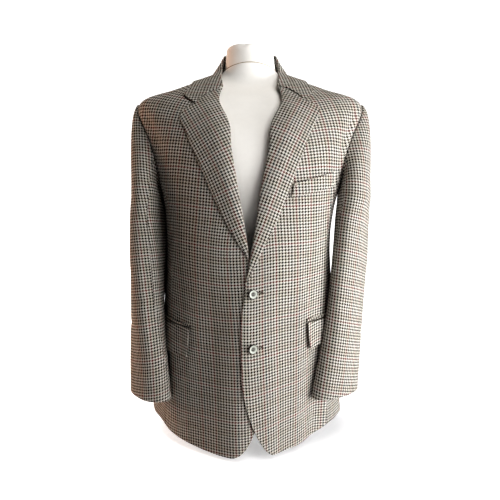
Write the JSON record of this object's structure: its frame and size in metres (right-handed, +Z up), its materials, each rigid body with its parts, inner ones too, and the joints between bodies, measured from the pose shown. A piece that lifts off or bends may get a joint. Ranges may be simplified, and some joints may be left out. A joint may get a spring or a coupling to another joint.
{
  "type": "tweed hacking jacket on a limbless dress form",
  "caption": "Buttoned single-breasted checked tweed jacket with notched lapels, flap pockets and a breast welt, worn on a limbless dress form.",
  "frame": {"origin": "middle of the part's box, at the floor the dress form stands on", "axes": "+Z up, -Y the jacket's front, +X the wearer's left"},
  "size_m": [0.5586, 0.3322, 0.888],
  "materials": {
    "tweed": "woven wool tweed in a small check",
    "form_cloth": "plain cream cotton stretched smooth over the form",
    "horn": "dark grey horn, half matt"
  },
  "bodies": {
    "root": {"front_left": "tweed", "front_right": "tweed", "side_left": "tweed", "side_right": "tweed", "back_left": "tweed", "back_right": "tweed", "sleeve_top_left": "tweed", "sleeve_top_right": "tweed", "sleeve_under_left": "tweed", "sleeve_under_right": "tweed", "lapel_left": "tweed", "lapel_right": "tweed", "collar_fall": "tweed", "collar_stand": "tweed", "flap_left": "tweed", "flap_right": "tweed", "jet_left": "tweed", "jet_right": "tweed", "breast_welt": "tweed", "button_upper": "horn", "button_lower": "horn", "form_torso": "form_cloth", "form_neck": "form_cloth"}
  },
  "joints": []
}
